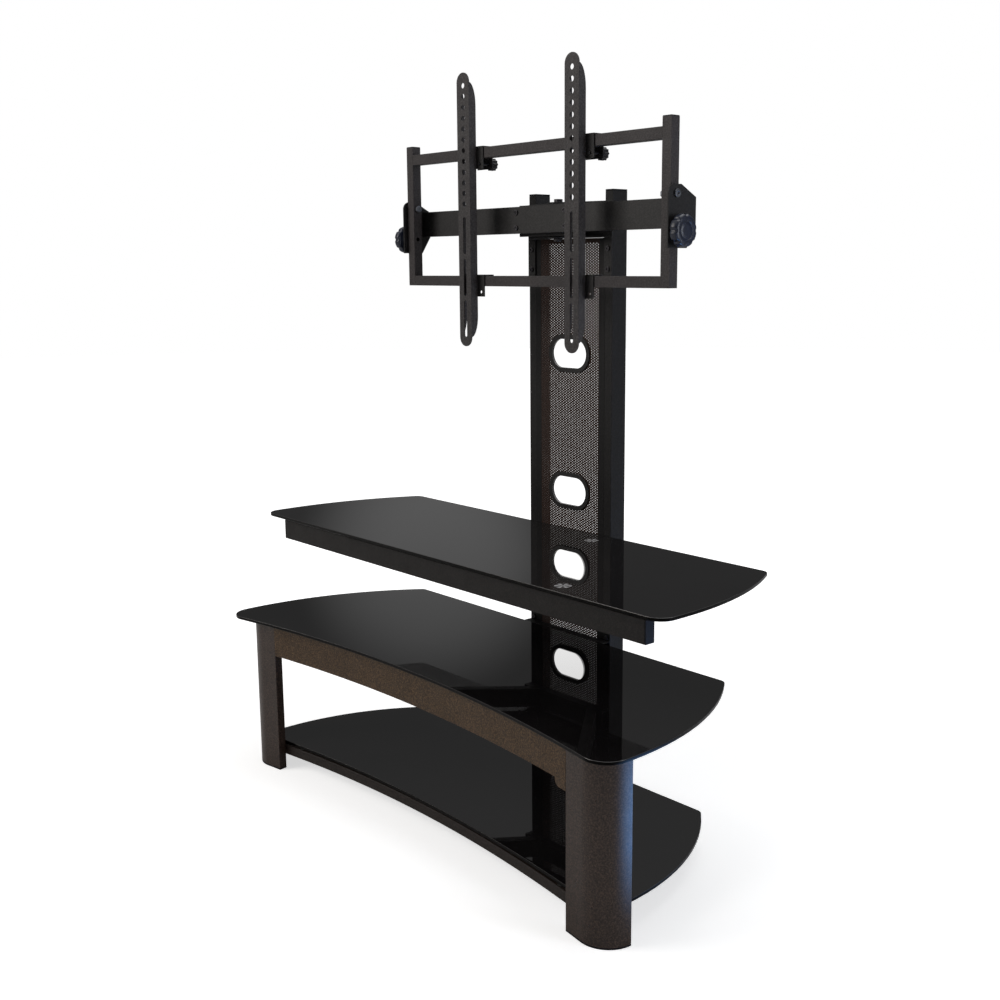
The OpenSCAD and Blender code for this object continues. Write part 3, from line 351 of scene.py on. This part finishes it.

# Carried-over nodes by material and width of the rounded edge in mm
DRESS = {
    ("leg", 1.2): ["left_leg", "right_leg"],
    ("bronze", 0.8): ["front_apron"],
    ("rail", 0.8): ["lower_front_rail"],
    ("bar", 1.0): ["top_front_bar"],
    ("cap", 0.3): ["swivel_washers"],
    ("cap", 0.6): ["leg_glides", "upright_caps", "upright_glides"],
    ("cap", 0.8): ["front_bar_caps", "frame_tube_caps"],
    ("top_glass", 0.9): ["top_glass"],
    ("glass", 0.9): ["middle_glass", "lower_glass"],
    ("clear", 0.5): ["top_glass_pads"],
    ("clear", 0.4): ["middle_glass_pads"],
    ("grommet", 0.4): ["lower_glass_pads"],
    ("grommet", 1.0): ["cable_grommets"],
    ("upright", 1.2): ["left_upright", "right_upright"],
    ("black", 0.7): ["swivel_bracket", "swivel_yoke"],
    ("black", 0.6): ["left_side_plate", "right_side_plate"],
    ("black", 0.4): ["left_top_clip", "right_top_clip", "left_bottom_clip", "right_bottom_clip"],
    ("dark_zinc", 0.4): ["column_bolts", "swivel_bolt", "beam_bolts"],
    ("zinc", 0.4): ["left_pivot_bolt", "right_pivot_bolt"],
    ("beam", 2.6): ["beam"],
    ("frame", 1.4): ["left_frame_tube", "right_frame_tube", "frame_top_bar", "frame_bottom_bar"],
    ("arm", 0.5): ["left_screen_arm", "right_screen_arm"],
    ("knob", 1.2): ["left_tilt_knob", "right_tilt_knob"],
    ("thumb", 0.9): ["left_thumb_knob", "right_thumb_knob"],
    ("under", 0.8): [f"{shelf}_{piece}" for shelf in ("lower", "middle", "top")
                     for piece in ("left_strut", "right_strut", "cross_bar")],
}

WELD_DISTANCE = 1e-5
FLAT_ANGLE, BEVEL_ANGLE, SMOOTH_ANGLE = (math.radians(a) for a in (0.6, 32.0, 50))
BEVEL_SEGMENTS, NORMAL_WEIGHT = 2, 80


def smooth_group():
    g = bpy.data.node_groups.new("shade_smooth", "GeometryNodeTree")
    g.interface.new_socket("Geometry", in_out="INPUT", socket_type="NodeSocketGeometry")
    g.interface.new_socket("Geometry", in_out="OUTPUT", socket_type="NodeSocketGeometry")
    i = g.nodes.new("NodeGroupInput")
    o = g.nodes.new("NodeGroupOutput")
    faces = g.nodes.new("GeometryNodeSetShadeSmooth")
    faces.domain = "FACE"
    edges = g.nodes.new("GeometryNodeSetShadeSmooth")
    edges.domain = "EDGE"
    ang = g.nodes.new("GeometryNodeInputMeshEdgeAngle")
    low = g.nodes.new("FunctionNodeCompare")
    low.operation = "LESS_THAN"
    low.inputs[1].default_value = SMOOTH_ANGLE
    g.links.new(ang.outputs["Unsigned Angle"], low.inputs[0])
    g.links.new(i.outputs[0], faces.inputs["Geometry"])
    g.links.new(faces.outputs[0], edges.inputs["Geometry"])
    g.links.new(low.outputs[0], edges.inputs["Shade Smooth"])
    g.links.new(edges.outputs[0], o.inputs[0])
    return g


SMOOTH = smooth_group()


# Rounded edges by modifiers alone: the nodes' own meshes stay as packed
def soften(o, width):
    w = o.modifiers.new("weld", "WELD")
    w.merge_threshold = WELD_DISTANCE
    d = o.modifiers.new("flat", "DECIMATE")
    d.decimate_type = "DISSOLVE"
    d.angle_limit = FLAT_ANGLE
    b = o.modifiers.new("edge", "BEVEL")
    b.limit_method = "ANGLE"
    b.angle_limit = BEVEL_ANGLE
    b.width = width
    b.segments = BEVEL_SEGMENTS
    b.use_clamp_overlap = True
    b.miter_outer = "MITER_ARC"
    g = o.modifiers.new("smooth", "NODES")
    g.node_group = SMOOTH
    n = o.modifiers.new("normals", "WEIGHTED_NORMAL")
    n.weight = NORMAL_WEIGHT
    n.keep_sharp = True


for (material_key, edge_width), names in DRESS.items():
    for name in names:
        o = NODES[name]
        if not o.material_slots:
            o.data.materials.append(MATS[material_key])
        for s in o.material_slots:
            s.material = MATS[material_key]
        soften(o, edge_width * MM)


# Perforated back panel: six-sided holes in a staggered lattice, a plain border and folded side flanges
HOLE_PITCH, HOLE_R, SHEET = 5.0 * MM, 1.21 * MM, 1.1 * MM
FIELD_HALF, FIELD_MARGIN = 80 * MM, 8 * MM
CABLE_Z = (0.881, 0.6075, 0.410)
CABLE_CORE, CABLE_CLEAR = 23 * MM, 30.5 * MM
HEX = 6


def perforated_panel():
    lo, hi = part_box("mesh_panel")
    step = HOLE_PITCH * math.sqrt(3) / 2
    corner = HOLE_PITCH / math.sqrt(3)
    cols = int(FIELD_HALF / step)
    rows = int((hi.z - lo.z - 2 * FIELD_MARGIN) / HOLE_PITCH)
    z0 = (lo.z + hi.z) / 2 - rows * HOLE_PITCH / 2 + HOLE_PITCH / 4
    x_edge = cols * step + HOLE_PITCH / 2
    z_low, z_high = z0 - HOLE_PITCH / 2, z0 + rows * HOLE_PITCH
    verts, faces, index = [], [], {}

    def vert(x, z, y=lo.y):
        k = (round(x / EPS), round(y / EPS), round(z / EPS))
        if k not in index:
            index[k] = len(verts)
            verts.append((x, y, z))
        return index[k]

    def in_cable_hole(x, z):
        dx = max(0.0, abs(x) - CABLE_CORE)
        return any(math.hypot(dx, z - c) < CABLE_CLEAR for c in CABLE_Z)

    for i in range(-cols, cols + 1):
        cx = i * step
        for j in range(rows):
            cz = z0 + j * HOLE_PITCH + (HOLE_PITCH / 2 if i % 2 else 0)
            if in_cable_hole(cx, cz):
                continue
            ring, hole = [], []
            for k in range(HEX):
                a = 2 * math.pi * k / HEX
                px, pz = cx + corner * math.cos(a), cz + corner * math.sin(a)
                if abs(i) == cols and px * i > abs(cx) * abs(i) + EPS:
                    px = math.copysign(x_edge, i)
                if j == 0 and pz < z0 + EPS:
                    pz = z_low
                if j == rows - 1 and pz > z0 + (rows - 0.5) * HOLE_PITCH - EPS:
                    pz = z_high
                ring.append(vert(px, pz))
                hole.append(vert(cx + HOLE_R * math.cos(a), cz + HOLE_R * math.sin(a)))
            for k in range(HEX):
                n = (k + 1) % HEX
                faces.append((ring[k], ring[n], hole[n], hole[k]))

    across = sorted({v[0] for v in verts if abs(v[2] - z_high) < EPS / 10})
    below = sorted({v[0] for v in verts if abs(v[2] - z_low) < EPS / 10})
    w = hi.x
    for s in (-1, 1):
        zs = [lo.z] + sorted({v[2] for v in verts if abs(v[0] - s * x_edge) < EPS / 10}) + [hi.z]
        for a, b in zip(zs, zs[1:]):
            border = [vert(s * x_edge, a), vert(s * w, a), vert(s * w, b), vert(s * x_edge, b)]
            flange = [vert(s * w, a), vert(s * w, a, hi.y), vert(s * w, b, hi.y), vert(s * w, b)]
            for q in (border, flange):
                faces.append(tuple(q if s > 0 else reversed(q)))
    for xs, za, zb in ((across, z_high, hi.z), (below, lo.z, z_low)):
        for a, b in zip(xs, xs[1:]):
            faces.append((vert(a, za), vert(b, za), vert(b, zb), vert(a, zb)))

    me = bpy.data.meshes.new("perforated_panel")
    me.from_pydata(verts, [], faces)
    me.materials.append(MATS["panel"])
    o = place_object("perforated_panel", me)
    s = o.modifiers.new("sheet", "SOLIDIFY")
    s.thickness = SHEET
    s.offset = -1
    s.use_even_offset = True
    return o


# Fluted tilt knobs: one turned body with a rounded rim, eight scallops and a bare recessed centre.
# The profile gives the share of the length, the share of the radius and the share of the scallops' depth.
KNOB_PROFILE = [
    (0, 0.16, 0), (0, 0.50, 0), (0.02, 0.52, 0), (0.22, 0.52, 0), (0.28, 0.56, 0),
    (0.31, 0.84, 0.3), (0.34, 0.93, 0.7), (0.40, 0.975, 0.95), (0.48, 0.995, 1), (0.60, 1.0, 1),
    (0.74, 0.995, 1), (0.84, 0.975, 1), (0.91, 0.935, 0.9), (0.96, 0.88, 0.7), (0.99, 0.80, 0.35),
    (1.0, 0.72, 0.1), (1.0, 0.60, 0), (0.995, 0.575, 0), (0.955, 0.56, 0), (0.95, 0.54, 0),
    (0.95, 0.50, 0), (0.955, 0.47, 0), (0.975, 0.44, 0), (0.98, 0.30, 0), (0.985, 0.12, 0),
]
KNOB_SIDES, SCALLOPS = 144, 8
SCALLOP_DEPTH, SCALLOP_WIDTH, SCALLOP_SHARPNESS = 0.085, 0.42, 1.3
KNOB_GAP = 0.3 * MM
CREASE = math.radians(55)


def fluted_knob(side):
    lo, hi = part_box(f"{side}_tilt_knob")
    plate_lo, plate_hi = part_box(f"{side}_side_plate")
    s = 1 if side == "right" else -1
    x_in = (plate_hi.x if s > 0 else plate_lo.x) + s * KNOB_GAP
    length = abs((hi.x if s > 0 else lo.x) - x_in)
    cy, cz = (lo.y + hi.y) / 2, (lo.z + hi.z) / 2
    r = (hi.z - lo.z) / 2
    n = KNOB_SIDES
    verts, faces = [], []
    for along, share, cut in KNOB_PROFILE:
        for i in range(n):
            th = 2 * math.pi * i / n
            d = abs(i * SCALLOPS / n % 1 - 0.5) * 2
            notch = max(0.0, 1 - ((1 - d) / SCALLOP_WIDTH) ** 2) ** SCALLOP_SHARPNESS
            q = r * share * (1 - SCALLOP_DEPTH * cut * notch)
            verts.append((x_in + s * length * along, cy + q * math.cos(th), cz + q * math.sin(th)))
    last = (len(KNOB_PROFILE) - 1) * n
    for j in range(0, last, n):
        for i in range(n):
            a, b = j + i, j + (i + 1) % n
            q = (a, b, b + n, a + n)
            faces.append(q if s > 0 else tuple(reversed(q)))
    foot, head = tuple(range(n)), tuple(range(last, last + n))
    faces.append(foot[::-1] if s > 0 else foot)
    faces.append(head if s > 0 else head[::-1])
    me = bpy.data.meshes.new(f"{side}_fluted_knob")
    me.from_pydata(verts, [], faces)
    me.polygons.foreach_set("use_smooth", [True] * len(me.polygons))
    me.materials.append(MATS["knob"])
    o = place_object(f"{side}_fluted_knob", me)
    e = o.modifiers.new("creases", "EDGE_SPLIT")
    e.split_angle = CREASE
    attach(o, f"{side}_clamp")
    return o


panel = perforated_panel()
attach(panel, "stand")
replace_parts(panel, "mesh_panel")
for side in ("left", "right"):
    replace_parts(fluted_knob(side), f"{side}_tilt_knob")


# Floor: white to the camera beyond the object's shadow, with a pool of cool light that only first reflections see
FLOOR_R, FLOOR_SIDES, FLOOR_TONE = 14.0, 48, (0.86, 0.86, 0.86)
GLOW_NEAR, GLOW_FAR, GLOW_AT_STAND = 0.7, 2.2, 0.62
POOL_PLACE, POOL_CORE, POOL_R, POOL_STRENGTH = (1.0, 0.17, 0), 0.15, 0.52, 7.0
POOL_DEEP, POOL_PALE = (0.14, 0.40, 0.95), (0.19, 0.46, 1.0)


def floor_material(name):
    m, t, p, pos = material(name)
    col = t.ramp(t.noise(pos, 0.8, 2), [(0.3, tint(FLOOR_TONE, 0.99)), (0.7, tint(FLOOR_TONE, 1.0))])
    t.join(col, p.inputs["Base Color"])
    p.inputs["Roughness"].default_value = 0.9
    p.inputs["Specular IOR Level"].default_value = 0.0
    path = t.add("ShaderNodeLightPath")
    glow = t.add("ShaderNodeEmission")
    glow.inputs["Color"].default_value = grey(1)
    away = t.add("ShaderNodeVectorMath", operation="LENGTH")
    t.join(pos, away.inputs[0])
    reach = t.span(away.outputs["Value"], GLOW_NEAR, GLOW_FAR, GLOW_AT_STAND, 1.0, True)
    t.put(glow, "Strength", t.math("MULTIPLY", path.outputs["Is Camera Ray"], reach))
    pool = t.add("ShaderNodeVectorMath", operation="DISTANCE")
    t.join(pos, pool.inputs[0])
    pool.inputs[1].default_value = POOL_PLACE
    cool = t.add("ShaderNodeEmission")
    t.join(t.ramp(t.noise(pos, 1.5, 2), [(0.3, POOL_DEEP), (0.7, POOL_PALE)]), cool.inputs["Color"])
    first = t.math("MULTIPLY", path.outputs["Is Glossy Ray"], t.math("LESS_THAN", path.outputs["Glossy Depth"], 1.5))
    fade = t.span(pool.outputs["Value"], POOL_CORE, POOL_R, POOL_STRENGTH, 0.0, True)
    t.put(cool, "Strength", t.math("MULTIPLY", first, fade))
    lit, both = t.add("ShaderNodeAddShader"), t.add("ShaderNodeAddShader")
    t.join(glow.outputs[0], lit.inputs[0])
    t.join(cool.outputs[0], lit.inputs[1])
    t.join(p.outputs[0], both.inputs[0])
    t.join(lit.outputs[0], both.inputs[1])
    t.join(both.outputs[0], t.output())
    return m


def turn(i):
    return 2 * math.pi * i / FLOOR_SIDES


me = bpy.data.meshes.new("floor")
me.from_pydata([(FLOOR_R * math.cos(turn(i)), FLOOR_R * math.sin(turn(i)), 0) for i in range(FLOOR_SIDES)],
               [], [tuple(range(FLOOR_SIDES))])
me.materials.append(floor_material("pale_floor"))
floor = place_object("floor", me)


# Backdrop behind the column, seen in the gloss alone: the shelves mirror the white ground through the panel and the
# cable holes. It is brighter where the camera's mirrored line of sight through each cable hole meets it.
CARD_GAP, CARD_LEFT, CARD_RIGHT = 12 * MM, -124 * MM, 98 * MM
CARD_STRENGTH, HOLE_STRENGTH = 0.85, 3.0
SIGHT_DRIFT = 1.19
SIGHT_RISE = (0.58, 0.40, 0.55)
PATCH_CORE, PATCH_R, PATCH_SOFT = 0.020, 0.030, 0.032


def column_backdrop():
    lo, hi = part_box("mesh_panel")
    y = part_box("right_upright")[1].y + CARD_GAP
    m, t, p, pos = material("white_backdrop")
    path, geo = t.add("ShaderNodeLightPath"), t.add("ShaderNodeNewGeometry")
    glow, through, both = (t.add(k) for k in ("ShaderNodeEmission", "ShaderNodeBsdfTransparent", "ShaderNodeMixShader"))
    t.join(t.ramp(t.noise(pos, 2.0, 2), [(0.3, (0.97, 0.96, 0.95)), (0.7, (1, 1, 1))]), glow.inputs["Color"])
    xyz = t.split(pos)
    across = t.math("ABSOLUTE", t.math("ADD", xyz["X"], (y - lo.y) * SIGHT_DRIFT))
    side = t.math("MAXIMUM", t.math("SUBTRACT", across, PATCH_CORE), 0.0)
    strength = CARD_STRENGTH
    for z, rise in zip(CABLE_Z, SIGHT_RISE):
        far = t.length2(side, t.math("SUBTRACT", xyz["Z"], z + rise * (y - lo.y)))
        strength = t.math("ADD", t.span(far, PATCH_R, PATCH_SOFT, HOLE_STRENGTH, 0.0), strength)
    t.join(strength, glow.inputs["Strength"])
    front = t.math("SUBTRACT", 1.0, geo.outputs["Backfacing"])
    t.join(t.math("MULTIPLY", path.outputs["Is Glossy Ray"], front), both.inputs[0])
    t.join(through.outputs[0], both.inputs[1])
    t.join(glow.outputs[0], both.inputs[2])
    t.join(both.outputs[0], t.output())
    me = bpy.data.meshes.new("column_backdrop")
    me.from_pydata([(CARD_LEFT, y, lo.z), (CARD_RIGHT, y, lo.z), (CARD_RIGHT, y, hi.z), (CARD_LEFT, y, hi.z)],
                   [], [(0, 1, 2, 3)])
    me.materials.append(m)
    o = place_object("column_backdrop", me)
    o.visible_camera = o.visible_diffuse = o.visible_shadow = o.visible_transmission = False


column_backdrop()

# World: white to the camera, a dim room in the gloss, soft fill for the rest.
# The gloss goes by height, from straight down at 0 to straight up at 1, with one soft lobe of light.
ROOM = [(0.0, 0.30), (0.499, 0.30), (0.5, 0.062), (0.60, 0.066), (0.63, 0.073), (0.663, 0.10), (0.69, 0.14),
        (0.711, 0.18), (0.735, 0.22), (0.80, 0.42), (0.93, 1.0)]
ROOM_FILL = 0.18
LOBE_AZIMUTH, LOBE_HEIGHT, LOBE_R = (math.radians(a) for a in (52.6, 13.4, 6.6))
LOBE_STRENGTH = 0.20


def world():
    w = bpy.data.worlds.new("room")
    w.use_nodes = True
    bpy.context.scene.world = w
    t = Tree(w.node_tree)
    out = t.add("ShaderNodeOutputWorld")
    back = t.add("ShaderNodeBackground")
    t.join(back.outputs[0], out.inputs[0])
    d = t.add("ShaderNodeTexCoord").outputs["Generated"]
    dim = t.ramp(t.span(t.split(d)["Z"], -1, 1), [(a, (v, v, v)) for a, v in ROOM])
    lobe = t.add("ShaderNodeVectorMath", operation="DOT_PRODUCT")
    t.join(d, lobe.inputs[0])
    lobe.inputs[1].default_value = (-math.sin(LOBE_AZIMUTH) * math.cos(LOBE_HEIGHT),
                                    math.cos(LOBE_AZIMUTH) * math.cos(LOBE_HEIGHT), math.sin(LOBE_HEIGHT))
    glow = t.span(lobe.outputs["Value"], math.cos(LOBE_R), 1.0, 0, LOBE_STRENGTH, True)
    dim = t.mix(1.0, dim, t.ramp(glow, [(0, (0, 0, 0)), (1, (1, 1, 1))]), "ADD")
    path = t.add("ShaderNodeLightPath")
    col = t.mix(path.outputs["Is Glossy Ray"], grey(ROOM_FILL), dim)
    white = t.math("MAXIMUM", path.outputs["Is Camera Ray"], path.outputs["Is Transmission Ray"])
    t.join(t.mix(white, col, grey(1)), back.inputs["Color"])
    back.inputs["Strength"].default_value = 1.0


world()

# Lamps: name, place, aim, width, height, power, colour
LAMPS = [
    ("key", (-2.2, -3.4, 2.7), (0, 0, 0.6), 2.4, 2.4, 90, (1.0, 0.96, 0.92)),
    ("window", (3.4, 1.1, 1.1), (0.3, 0, 0.5), 1.1, 1.9, 38, (0.86, 0.90, 1.0)),
    ("fill", (2.6, -3.2, 1.8), (0, 0, 0.6), 2.0, 1.6, 2, (1, 1, 1)),
    ("top", (0.2, 0.6, 3.2), (0, 0, 0.8), 2.4, 2.0, 26, (1, 1, 1)),
]
for name, place, aim, width, height, power, colour in LAMPS:
    lamp = bpy.data.lights.new(name, "AREA")
    lamp.shape = "RECTANGLE"
    lamp.size, lamp.size_y, lamp.energy, lamp.color = width, height, power, colour
    o = place_object(name, lamp)
    o.location = place
    o.rotation_euler = (Vector(aim) - Vector(place)).to_track_quat("-Z", "Y").to_euler()

bpy.context.view_layer.update()
